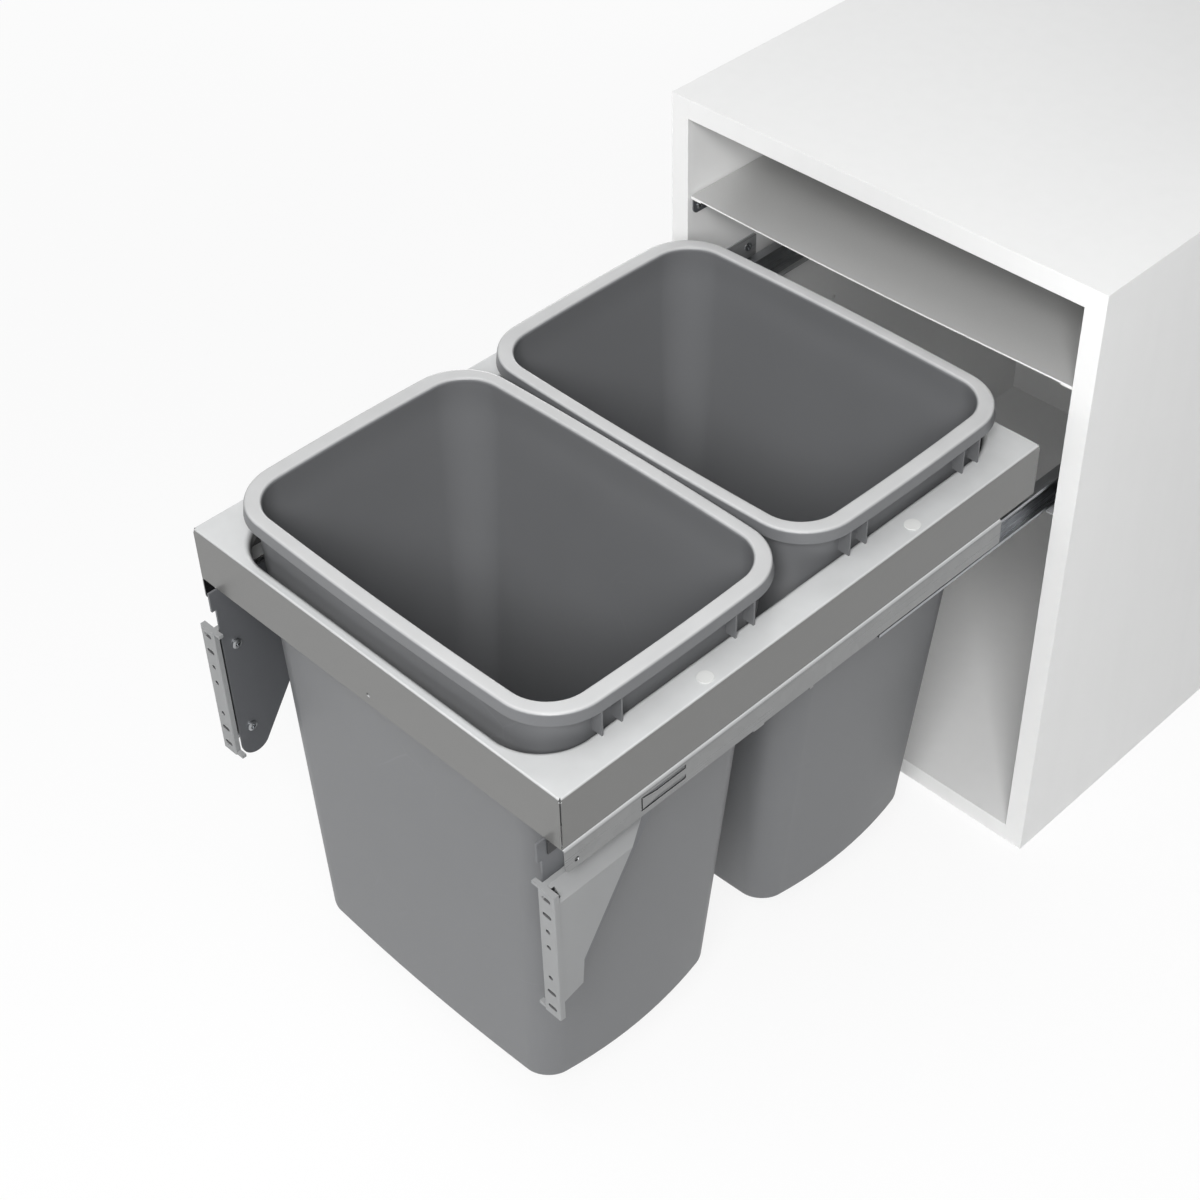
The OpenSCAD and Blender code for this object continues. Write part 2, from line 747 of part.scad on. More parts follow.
module arm_plate_right() {
    toe_radius = 14;
    toe_reach = 26;
    toe_rise = 6.9;
    step_height = 19;
    step = 4;
    arm_drop = 7;
    arm_bottom = strip_bottom - arm_drop;
    arm_top = rail_top - arm_top_gap;
    arm_top_y = 149;
    y0 = strip_face + arm_lead;
    slit = bracket_screw_d + 2 * (adjust_reach + seat_gap);
    color("darkgray") difference() {
        upright_plate(leg_inner - arm_sheet, arm_sheet) difference() {
            union() {
                polygon([
                    [y0, arm_bottom + toe_radius],
                    [y0 + toe_radius, arm_bottom + toe_radius],
                    [y0 + toe_reach, arm_bottom + toe_rise],
                    [strip_face + arm_top_y, arm_top],
                    [y0 - step, arm_top],
                    [y0 - step, arm_top - step_height],
                    [y0, arm_top - step_height]]);
                translate([y0 + toe_radius, arm_bottom + toe_radius]) circle(toe_radius);
            }
            for (z = bracket_screw_zs) translate([bracket_screw_y, z]) rotate(90)
                slot_outline(slit, bracket_screw_d + 2 * bracket_play);
        }
        for (y = arm_rivet_ys)
            rod_x(leg_inner - arm_sheet - cut, y, arm_rivet_z,
                arm_rivet_d + 2 * fit_gap, arm_sheet + 2 * cut);
    }
}

module arm_plate_left() {
    mirror([1, 0, 0]) arm_plate_right();
}

module arm_rivets() {
    rivet_head_d = 7;
    rivet_head_h = 1.6;
    color("lightgray") for (side = [0, 1], y = arm_rivet_ys) mirror([side, 0, 0]) {
        rod_x(leg_inner - arm_sheet, y, arm_rivet_z, arm_rivet_d, arm_sheet + rail_sheet);
        rod_x(leg_inner - arm_sheet - rivet_head_h, y, arm_rivet_z, rivet_head_d, rivet_head_h);
        rod_x(leg_inner + rail_sheet, y, arm_rivet_z, rivet_head_d, rivet_head_h);
    }
}

// The slope along the bracket's upper edge, as the solid that is cut away behind the strip
module shoulder_cut(inset) {
    y0 = strip_face + strip_depth;
    low = strip_top - shoulder - inset;
    run = shoulder + inset + cut;
    translate([web_outer + cut, y0 + web_top_y, low - cut]) rotate([90, 0, 0])
        linear_extrude(web_top_y) polygon([[0, 0], [0, run + cut], [-run - cut, run + cut]]);
}

// The strip as a box, open at its back where the web joins it
module strip_box() {
    corner = 1.2;
    difference() {
        translate([strip_inner, strip_face, strip_bottom]) linear_extrude(strip_height) {
            rounded_rectangle([strip_width, strip_depth], corner);
            translate([0, corner]) square([strip_width, strip_depth - corner]);
        }
        translate([strip_inner + shell, strip_face + shell, strip_bottom + shell])
            cube([strip_width - 2 * shell, strip_depth, strip_height - 2 * shell]);
    }
}

module front_bracket_right() {
    lug_reach = 7;
    lug_height = 3;
    lug_setback = 1;
    lug_depth = arm_lead - 2 * lug_setback;
    hole_x = (strip_inner + strip_outer) / 2;
    hollow = inset_outline(web_outline, shell);
    color("lightgray") difference() {
        union() {
            difference() {
                union() {
                    strip_box();
                    difference() {
                        upright_plate(strip_inner, web_outer - strip_inner) polygon(web_outline);
                        shoulder_cut(0);
                    }
                }
                difference() {
                    upright_plate(strip_inner - cut, web_outer - shell - strip_inner + cut)
                        polygon(hollow);
                    shoulder_cut(shell);
                }
                translate([strip_inner + shell, strip_face + shell, strip_bottom + web_heel_rise + shell])
                    cube([strip_width - 2 * shell - web_step, strip_depth + shell,
                        strip_height - web_heel_rise - 2 * shell]);
            }
            for (z = bracket_screw_zs)
                rod_x(strip_inner, bracket_screw_y, z, boss_d, strip_width - web_step - shell / 2);
            for (z = [strip_bottom, strip_top - lug_height])
                translate([strip_inner - lug_reach, strip_face + lug_setback, z])
                    cube([lug_reach + shell, lug_depth, lug_height]);
        }
        for (row = hole_rows) {
            z = strip_top - first_hole_inset - row * hole_pitch;
            long = len([for (s = slot_rows) if (s == row) s]) > 0;
            translate([hole_x, 0, z]) facing_plate(strip_face - cut, shell + 2 * cut)
                if (long) slot_outline(slot_length, strip_hole_d);
                else circle(d = strip_hole_d);
        }
        for (z = bracket_screw_zs)
            rod_x(strip_inner - cut, bracket_screw_y, z,
                bracket_screw_d + 2 * fit_gap, bracket_screw_bite + cut);
    }
}

module front_bracket_left() {
    mirror([1, 0, 0]) front_bracket_right();
}

module bracket_screws_right() {
    color("lightgray") for (z = bracket_screw_zs)
        translate([leg_inner - arm_sheet - bracket_play, bracket_screw_y, z]) rotate([0, -90, 0])
            pan_screw(bracket_screw_head_d, bracket_screw_head_h, bracket_screw_d,
                arm_sheet + 2 * bracket_play + bracket_screw_bite - fit_gap);
}

module bracket_screws_left() {
    mirror([1, 0, 0]) bracket_screws_right();
}

// Bins: a loft of rings from the outer bottom, up the wall, over the rim and down the inside

corner_steps = 6;
side_steps = 6;
foot_radius = 7;
foot_steps = 3;
bottom_radius = 20;
bin_floor = 3;
rim_edge = 2;
mid_height_share = 0.5;
rim_bow = 2.5;
rim_face_bow = 4;

// One ring: half width a and half length b at the middles, corner radius r, bows p and q included in a and b,
// moved forward by f
function ring(a, b, r, p, q, f, z) = [
    for (quarter = [0:3])
        let (sx = quarter == 0 || quarter == 3 ? 1 : -1, sy = quarter < 2 ? 1 : -1)
        for (i = [0:corner_steps + side_steps - 1])
            let (
                on_arc = i <= corner_steps,
                angle = 90 * quarter + 90 * min(i, corner_steps) / corner_steps,
                share = (i - corner_steps) / side_steps,
                cx = sx * (a - p - r), cy = sy * (b - q - r),
                ex = quarter % 2 == 0 ? -cx : cx, ey = quarter % 2 == 0 ? cy : -cy,
                x = on_arc ? cx + r * cos(angle) : cx + r * cos(angle) + share * (ex - cx),
                y = on_arc ? cy + r * sin(angle) : cy + r * sin(angle) + share * (ey - cy),
                u = x / (a - p), v = y / (b - q)
            )
            [x + sign(x) * p * (1 - v * v), y + sign(y) * q * (1 - u * u) - f, z]
];

// Wall size at height z above the bin's bottom, as [half width, half length, radius, bow, face bow, shift]
deck_rise = bin_height - rim_rise;
bow_share = 0.3;
face_bow_share = 0.75;
function wall_at(z, inset) =
    let (s = 1 - min(z / deck_rise, 1))
    [
        bin_wall_half - (side_taper - bottom_bow * bow_share) * s - inset,
        bin_length / 2 - rim_overhang - face_taper * s - inset,
        max((rim_radius - rim_overhang) * (1 - s) + bottom_radius * s - inset, bin_wall),
        rim_bow * (1 - s) + bottom_bow * s,
        rim_face_bow * (face_bow_share + (1 - face_bow_share) * s),
        bottom_shift * s
    ];
function wall_ring(z, inset) = let (w = wall_at(z, inset)) ring(w[0], w[1], w[2], w[3], w[4], w[5], z);
function rim_ring(inset, z) =
    ring(rim_half - inset, bin_length / 2 - inset, rim_radius - inset, rim_bow, rim_face_bow, 0, z);

bin_rings = [
    for (i = [0:foot_steps]) let (t = 90 * i / foot_steps)
        wall_ring(foot_radius * (1 - cos(t)), foot_radius * (1 - sin(t))),
    wall_ring(deck_rise * mid_height_share, 0),
    wall_ring(deck_rise, 0),
    wall_ring(bin_height - bin_wall, 0),
    rim_ring(bin_wall, bin_height - bin_wall),
    rim_ring(bin_wall - rim_flare, bin_height - rim_drop),
    rim_ring(-rim_flare, bin_height - rim_drop),
    for (i = [0:2]) rim_ring(rim_edge * (1 - cos(45 * i)), bin_height - rim_edge * (1 - sin(45 * i))),
    for (i = [2:-1:0]) let (w = wall_at(bin_height, bin_wall + rim_inner_lip - rim_edge * (1 - cos(45 * i))))
        ring(w[0], w[1], w[2], w[3], w[4], w[5], bin_height - rim_edge * (1 - sin(45 * i))),
    wall_ring(deck_rise, bin_wall),
    wall_ring(deck_rise * mid_height_share, bin_wall),
    for (i = [foot_steps:-1:0]) let (t = 90 * i / foot_steps, r = foot_radius - bin_wall)
        wall_ring(bin_floor + r * (1 - cos(t)), bin_wall + r * (1 - sin(t)))
];

module bin_shell() {
    n = len(bin_rings[0]);
    m = len(bin_rings);
    sides = [for (j = [0:m - 2], i = [0:n - 1]) let (k = (i + 1) % n)
        each [[j * n + i, (j + 1) * n + i, (j + 1) * n + k], [j * n + i, (j + 1) * n + k, j * n + k]]];
    floor_out = [for (i = [0:n - 1]) i];
    floor_in = [for (i = [n - 1:-1:0]) (m - 1) * n + i];
    polyhedron(points = [for (level = bin_rings) each level], faces = concat(sides, [floor_out, floor_in]));
}

module bin_ribs() {
    rib_offset = 67;
    rib_spacing = 19;
    rib = 1.6;
    rib_root = 1;
    for (side_x = [0, 1], side_y = [-1, 1], pair = [-0.5, 0.5]) mirror([side_x, 0, 0])
        translate([bin_wall_half - rib_root - rim_bow, side_y * rib_offset + pair * rib_spacing - rib / 2,
                deck_rise + seat_gap])
            cube([rim_side_overhang + rib_root + rim_flare, rib, rim_rise - seat_gap - bin_wall / 2]);
}

module bin(y) {
    color("gray") translate([0, y, bin_lift]) union() {
        bin_shell();
        bin_ribs();
    }
}

module front_bin() {
    bin(front_bin_y);
}

module rear_bin() {
    bin(rear_bin_y);
}

side_board_left();
side_board_right();
top_board();
bottom_board();
back_panel();
board_dowels();
lid_shelf();
lid_brackets();
lid_bracket_screws();
cabinet_rail_left();
cabinet_rail_right();
cabinet_rail_screws();
middle_rail_left();
middle_rail_right();
upper_cage_left();
upper_cage_right();
lower_cage_left();
lower_cage_right();
drawer_rail_left();
drawer_rail_right();
tray();
deck_caps();
tray_screws();
arm_plate_left();
arm_plate_right();
arm_rivets();
front_bracket_left();
front_bracket_right();
bracket_screws_left();
bracket_screws_right();
front_bin();
rear_bin();
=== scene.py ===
import math
import bmesh
import bpy
from mathutils import Matrix, Vector


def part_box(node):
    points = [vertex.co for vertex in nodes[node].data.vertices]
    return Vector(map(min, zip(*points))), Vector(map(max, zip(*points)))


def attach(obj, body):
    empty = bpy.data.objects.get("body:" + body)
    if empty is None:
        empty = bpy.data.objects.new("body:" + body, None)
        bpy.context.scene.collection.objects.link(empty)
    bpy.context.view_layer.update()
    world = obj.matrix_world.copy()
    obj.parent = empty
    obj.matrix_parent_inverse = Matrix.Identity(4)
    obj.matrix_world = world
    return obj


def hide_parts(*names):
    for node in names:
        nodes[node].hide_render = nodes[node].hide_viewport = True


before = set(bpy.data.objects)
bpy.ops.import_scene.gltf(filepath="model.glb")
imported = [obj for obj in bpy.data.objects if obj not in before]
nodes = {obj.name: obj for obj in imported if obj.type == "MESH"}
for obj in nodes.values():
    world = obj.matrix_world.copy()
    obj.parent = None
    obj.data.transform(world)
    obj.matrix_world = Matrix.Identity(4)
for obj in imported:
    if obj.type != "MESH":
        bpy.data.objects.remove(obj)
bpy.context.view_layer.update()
scene = bpy.context.scene
mm = 0.001


# Small helpers for meshes

def newPiece(name, bm, material, body, smoothAngle):
    mesh = bpy.data.meshes.new(name)
    bmesh.ops.recalc_face_normals(bm, faces=bm.faces)
    for face in bm.faces:
        face.smooth = True
    for edge in bm.edges:
        edge.smooth = not (len(edge.link_faces) == 2 and edge.calc_face_angle(0) > math.radians(smoothAngle))
    bm.to_mesh(mesh)
    bm.free()
    mesh.materials.append(material)
    piece = bpy.data.objects.new(name, mesh)
    scene.collection.objects.link(piece)
    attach(piece, body)
    return piece


def evenNormals(piece):
    even = piece.modifiers.new("evenNormals", "WEIGHTED_NORMAL")
    even.keep_sharp = True
    even.weight = 100


def addBox(bm, low, high):
    made = bmesh.ops.create_cube(bm, size=1)
    size = [high[i] - low[i] for i in range(3)]
    for vert in made["verts"]:
        vert.co = Vector([low[i] + (vert.co[i] + 0.5) * size[i] for i in range(3)])


def loft(bm, rings):
    # a closed skin through rings of as many points each, with a face on the first and the last
    rows = [[bm.verts.new(point) for point in ring] for ring in rings]
    for lower, upper in zip(rows, rows[1:]):
        count = len(lower)
        for i in range(count):
            j = (i + 1) % count
            bm.faces.new((lower[i], lower[j], upper[j], upper[i]))
    bm.faces.new(list(reversed(rows[0])))
    bm.faces.new(rows[-1])


# Nodes: an input takes either a plain value or another node's output

def addNode(tree, kind, settings=None, inputs=None):
    node = tree.nodes.new(kind)
    for key, value in (settings or {}).items():
        setattr(node, key, value)
    for key, value in (inputs or {}).items():
        if isinstance(value, bpy.types.NodeSocket):
            tree.links.new(value, node.inputs[key])
        else:
            node.inputs[key].default_value = value
    return node


def calculate(tree, operation, first, second=None):
    inputs = {0: first} if second is None else {0: first, 1: second}
    return addNode(tree, "ShaderNodeMath", {"operation": operation}, inputs).outputs[0]


def calculateVector(tree, operation, first, second=None, result="Vector"):
    inputs = {0: first} if second is None else {0: first, 1: second}
    return addNode(tree, "ShaderNodeVectorMath", {"operation": operation}, inputs).outputs[result]


def addNoise(tree, where, scale, detail, roughness=0.5):
    return addNode(tree, "ShaderNodeTexNoise", None, {
        "Vector": where, "Scale": scale, "Detail": detail, "Roughness": roughness})


def valueRange(tree, source, low, high, fromLow=0.3, fromHigh=0.7):
    return addNode(tree, "ShaderNodeMapRange", None, {
        "Value": source, "From Min": fromLow, "From Max": fromHigh, "To Min": low, "To Max": high,
    }).outputs["Result"]


def mixColours(tree, share, first, second, blend="MIX"):
    return addNode(tree, "ShaderNodeMix", {"data_type": "RGBA", "blend_type": blend}, {
        "Factor": share, 6: first, 7: second}).outputs[2]


def colourRamp(tree, source, stops):
    ramp = addNode(tree, "ShaderNodeValToRGB", None, {"Fac": source})
    for element, (place, colour) in zip(ramp.color_ramp.elements, stops):
        element.position = place
        element.color = (*colour, 1.0)
    return ramp.outputs["Color"]


# Node groups that several finishes use

def newGroup(name, inputs, outputs):
    group = bpy.data.node_groups.new(name, "ShaderNodeTree")
    for label, kind, value in inputs:
        socket = group.interface.new_socket(name=label, in_out="INPUT", socket_type=kind)
        if value is not None:
            socket.default_value = value
    for label, kind in outputs:
        group.interface.new_socket(name=label, in_out="OUTPUT", socket_type=kind)
    return group, group.nodes.new("NodeGroupInput").outputs, group.nodes.new("NodeGroupOutput").inputs


def makeGrainGroup():
    # moulded or painted grain: a fine height, and a slow change of tone
    group, given, result = newGroup(
        "surfaceGrain",
        [("Vector", "NodeSocketVector", None), ("Fine Scale", "NodeSocketFloat", 900.0),
         ("Slow Scale", "NodeSocketFloat", 4.0)],
        [("Height", "NodeSocketFloat"), ("Tone", "NodeSocketFloat")])
    fine = addNoise(group, given["Vector"], given["Fine Scale"], 2.0, 0.6)
    slow = addNoise(group, given["Vector"], given["Slow Scale"], 3.0, 0.55)
    group.links.new(fine.outputs["Fac"], result["Height"])
    group.links.new(slow.outputs["Fac"], result["Tone"])
    return group


def makeStreakGroup():
    # rolled or brushed metal: streaks that run along one direction
    group, given, result = newGroup(
        "rollStreaks",
        [("Vector", "NodeSocketVector", None), ("Stretch", "NodeSocketVector", (60.0, 2.0, 60.0)),
         ("Scale", "NodeSocketFloat", 8.0)],
        [("Streak", "NodeSocketFloat")])
    stretched = calculateVector(group, "MULTIPLY", given["Vector"], given["Stretch"])
    noise = addNoise(group, stretched, given["Scale"], 4.0, 0.6)
    group.links.new(noise.outputs["Fac"], result["Streak"])
    return group


def makeScuffGroup():
    # thin scattered scuffs from bags and cleaning
    group, given, result = newGroup(
        "thinScuffs",
        [("Vector", "NodeSocketVector", None), ("Amount", "NodeSocketFloat", 0.5)],
        [("Scuff", "NodeSocketFloat")])
    warp = addNoise(group, given["Vector"], 3.0, 2.0)
    bent = addNode(group, "ShaderNodeMix", {"data_type": "VECTOR"}, {
        "Factor": 0.12, 4: given["Vector"], 5: warp.outputs["Color"]})
    cells = addNode(group, "ShaderNodeTexVoronoi", {"feature": "DISTANCE_TO_EDGE"}, {
        "Vector": bent.outputs[1], "Scale": 14.0})
    thin = valueRange(group, cells.outputs["Distance"], 1.0, 0.0, 0.0, 0.012)
    patches = addNoise(group, given["Vector"], 9.0, 1.0)
    gate = valueRange(group, patches.outputs["Fac"], 0.0, 1.0, 0.58, 0.7)
    scuff = calculate(group, "MULTIPLY", calculate(group, "MULTIPLY", thin, gate), given["Amount"])
    group.links.new(scuff, result["Scuff"])
    return group


def makePaintedLitGroup():
    # painted light: faces that look one way, mostly up, get a paler colour in uneven patches, standing in for
    # the light that falls on them
    group, given, result = newGroup(
        "paintedLitFaces",
        [("Vector", "NodeSocketVector", None), ("Normal", "NodeSocketVector", None),
         ("Side", "NodeSocketVector", (0.0, 0.0, 1.0)), ("Amount", "NodeSocketFloat", 0.5)],
        [("PaintedLit", "NodeSocketFloat")])
    turned = calculateVector(group, "DOT_PRODUCT", given["Normal"], given["Side"], "Value")
    facing = valueRange(group, turned, 0.0, 1.0, 0.35, 0.95)
    cloud = addNoise(group, given["Vector"], 30.0, 3.0)
    patches = valueRange(group, cloud.outputs["Fac"], 0.85, 1.0, 0.2, 0.8)
    paintedLitShare = calculate(group, "MULTIPLY", calculate(group, "MULTIPLY", facing, patches), given["Amount"])
    group.links.new(paintedLitShare, result["PaintedLit"])
    return group


def makePaintedShadeGroup():
    # painted shade: the hollow places of a part, inside a box that is the same on the left and the right, get
    # a dark colour where shade falls
    group, given, result = newGroup(
        "paintedRecessShade",
        [("Vector", "NodeSocketVector", None), ("Centre", "NodeSocketVector", (0.0, 0.0, 0.0)),
         ("Half Size", "NodeSocketVector", (0.01, 0.01, 0.01))],
        [("PaintedShade", "NodeSocketFloat")])
    place = addNode(group, "ShaderNodeSeparateXYZ", None, {0: given["Vector"]}).outputs
    mirrored = addNode(group, "ShaderNodeCombineXYZ", None, {
        "X": calculate(group, "ABSOLUTE", place["X"]), "Y": place["Y"], "Z": place["Z"]})
    away = calculateVector(group, "SUBTRACT", mirrored.outputs[0], given["Centre"])
    inside = calculateVector(group, "SUBTRACT", given["Half Size"], calculateVector(group, "ABSOLUTE", away))
    depth = addNode(group, "ShaderNodeSeparateXYZ", None, {0: inside}).outputs
    least = calculate(group, "MINIMUM", calculate(group, "MINIMUM", depth["X"], depth["Y"]), depth["Z"])
    group.links.new(valueRange(group, least, 0.0, 1.0, 0.0, 0.0002), result["PaintedShade"])
    return group


grainGroup = makeGrainGroup()
paintedShadeGroup = makePaintedShadeGroup()
paintedLitGroup = makePaintedLitGroup()
streakGroup = makeStreakGroup()
scuffGroup = makeScuffGroup()
print("node groups made")


# Materials

def startMaterial(name, fixed):
    material = bpy.data.materials.new(name)
    material.use_nodes = True
    tree = material.node_tree
    shader = tree.nodes["Principled BSDF"]
    for key, value in fixed.items():
        shader.inputs[key].default_value = value
    where = tree.nodes.new("ShaderNodeTexCoord").outputs["Object"]
    return material, tree, shader, where


def placeGroup(tree, group, inputs):
    return addNode(tree, "ShaderNodeGroup", {"node_tree": group}, inputs).outputs


def addBump(tree, shader, height, strength, distance):
    bump = addNode(tree, "ShaderNodeBump", None, {
        "Height": height, "Strength": strength, "Distance": distance})
    tree.links.new(bump.outputs["Normal"], shader.inputs["Normal"])


def addPaintedLit(tree, where, colour, look, shader):
    # painted light: the paler colour is mixed into the base colour on the faces that look the given way
    geometry = tree.nodes.new("ShaderNodeNewGeometry")
    paintedLitShare = placeGroup(tree, paintedLitGroup, {
        "Vector": where, "Normal": geometry.outputs["Normal"], "Amount": look["paintedLitShare"],
        "Side": look.get("paintedLitSide", (0.0, 0.0, 1.0))})["PaintedLit"]
    paintedLitTone = mixColours(tree, paintedLitShare, colour, (*look["paintedLitColour"], 1.0))
    tree.links.new(paintedLitTone, shader.inputs["Base Color"])
    return paintedLitShare


def addPaintedShade(tree, where, colour, look):
    # painted shade darkens the hollow places; in the runner's track it also stands for its grease
    if "paintedShadeHalf" not in look:
        return colour
    paintedShade = placeGroup(tree, paintedShadeGroup, {
        "Vector": where, "Centre": look["paintedShadeCentre"], "Half Size": look["paintedShadeHalf"]})["PaintedShade"]
    return mixColours(tree, paintedShade, colour, (*look["paintedShadeColour"], 1.0))


plasticGrain = {"slowScale": 5.0, "bumpDistance": 0.0002, "roughSpread": 0.04}


def makePlastic(name, look):
    material, tree, shader, where = startMaterial(name, {
        "Metallic": 0.0, "IOR": 1.5, "Specular IOR Level": look["gloss"]})
    grain = placeGroup(tree, grainGroup, {
        "Vector": where, "Fine Scale": look["grainScale"], "Slow Scale": plasticGrain["slowScale"]})
    scuff = placeGroup(tree, scuffGroup, {"Vector": where, "Amount": look["scuffs"]})["Scuff"]
    tone = colourRamp(tree, grain["Tone"], [(0.3, look["dark"]), (0.7, look["light"])])
    scuffed = mixColours(tree, scuff, tone, (*look["scuffColour"], 1.0))
    addPaintedLit(tree, where, addPaintedShade(tree, where, scuffed, look), look, shader)
    spread = plasticGrain["roughSpread"]
    rough = valueRange(tree, grain["Tone"], look["rough"] - spread, look["rough"] + spread)
    tree.links.new(rough, shader.inputs["Roughness"])
    addBump(tree, shader, grain["Height"], look["grainDepth"], plasticGrain["bumpDistance"])
    return material


paintGrain = {"fineScale": 1400.0, "slowScale": 3.0, "flakeScale": 2200.0, "coatRough": 0.16,
              "bumpDistance": 0.0001, "roughSpread": 0.03}


def makePaintedSteel(name, look):
    material, tree, shader, where = startMaterial(name, {
        "IOR": 1.5, "Coat Weight": look["coat"], "Coat Roughness": paintGrain["coatRough"]})
    grain = placeGroup(tree, grainGroup, {
        "Vector": where, "Fine Scale": paintGrain["fineScale"], "Slow Scale": paintGrain["slowScale"]})
    flakes = addNode(tree, "ShaderNodeTexVoronoi", None, {"Vector": where, "Scale": paintGrain["flakeScale"]})
    flakeTone = colourRamp(tree, flakes.outputs["Distance"], [(0.0, look["light"]), (0.8, look["dark"])])
    slowTone = colourRamp(tree, grain["Tone"], [(0.3, look["dark"]), (0.7, look["light"])])
    paintedLitShare = addPaintedLit(tree, where, mixColours(tree, 0.5, flakeTone, slowTone), look, shader)
    # the painted light on those faces also changes how metallic the paint is
    metallic = valueRange(tree, paintedLitShare, look["metallic"], look["paintedLitMetallic"], 0.0, 1.0)
    tree.links.new(metallic, shader.inputs["Metallic"])
    spread = paintGrain["roughSpread"]
    rough = valueRange(tree, grain["Tone"], look["rough"] - spread, look["rough"] + spread)
    tree.links.new(rough, shader.inputs["Roughness"])
    addBump(tree, shader, grain["Height"], look["grainDepth"], paintGrain["bumpDistance"])
    return material


zincGrain = {"streakScale": 6.0, "spangleScale": 120.0, "spangleShare": 0.06, "smoother": 0.05,
             "rougher": 0.08, "bumpStrength": 0.02, "bumpDistance": 0.0001}


def makeZincSteel(name, look):
    material, tree, shader, where = startMaterial(name, {"Metallic": look["metallic"]})
    streak = placeGroup(tree, streakGroup, {
        "Vector": where, "Stretch": look["stretch"], "Scale": zincGrain["streakScale"]})["Streak"]
    cells = addNode(tree, "ShaderNodeTexVoronoi", None, {"Vector": where, "Scale": zincGrain["spangleScale"]})
    spangle = addNode(tree, "ShaderNodeRGBToBW", None, {0: cells.outputs["Color"]})
    tone = colourRamp(tree, streak, [(0.3, look["dark"]), (0.7, look["light"])])
    spangled = mixColours(tree, zincGrain["spangleShare"], tone, spangle.outputs[0], "SOFT_LIGHT")
    addPaintedLit(tree, where, addPaintedShade(tree, where, spangled, look), look, shader)
    rough = valueRange(
        tree, streak, look["rough"] - zincGrain["smoother"], look["rough"] + zincGrain["rougher"])
    tree.links.new(rough, shader.inputs["Roughness"])
    addBump(tree, shader, streak, zincGrain["bumpStrength"], zincGrain["bumpDistance"])
    return material


boardGrain = {"fineScale": 500.0, "slowScale": 2.0, "poreScale": 5.0, "rough": (0.42, 0.5),
              "bumpStrength": 0.08, "bumpDistance": 0.0002}


def makeMelamine(name, look):
    material, tree, shader, where = startMaterial(name, {"Metallic": 0.0, "IOR": 1.46})
    grain = placeGroup(tree, grainGroup, {
        "Vector": where, "Fine Scale": boardGrain["fineScale"], "Slow Scale": boardGrain["slowScale"]})
    pores = placeGroup(tree, streakGroup, {
        "Vector": where, "Stretch": look["poreStretch"], "Scale": boardGrain["poreScale"]})["Streak"]
    tone = colourRamp(tree, pores, [(0.25, look["dark"]), (0.6, look["light"])])
    tree.links.new(tone, shader.inputs["Base Color"])
    tree.links.new(valueRange(tree, grain["Tone"], *boardGrain["rough"]), shader.inputs["Roughness"])
    addBump(tree, shader, grain["Height"], boardGrain["bumpStrength"], boardGrain["bumpDistance"])
    return material
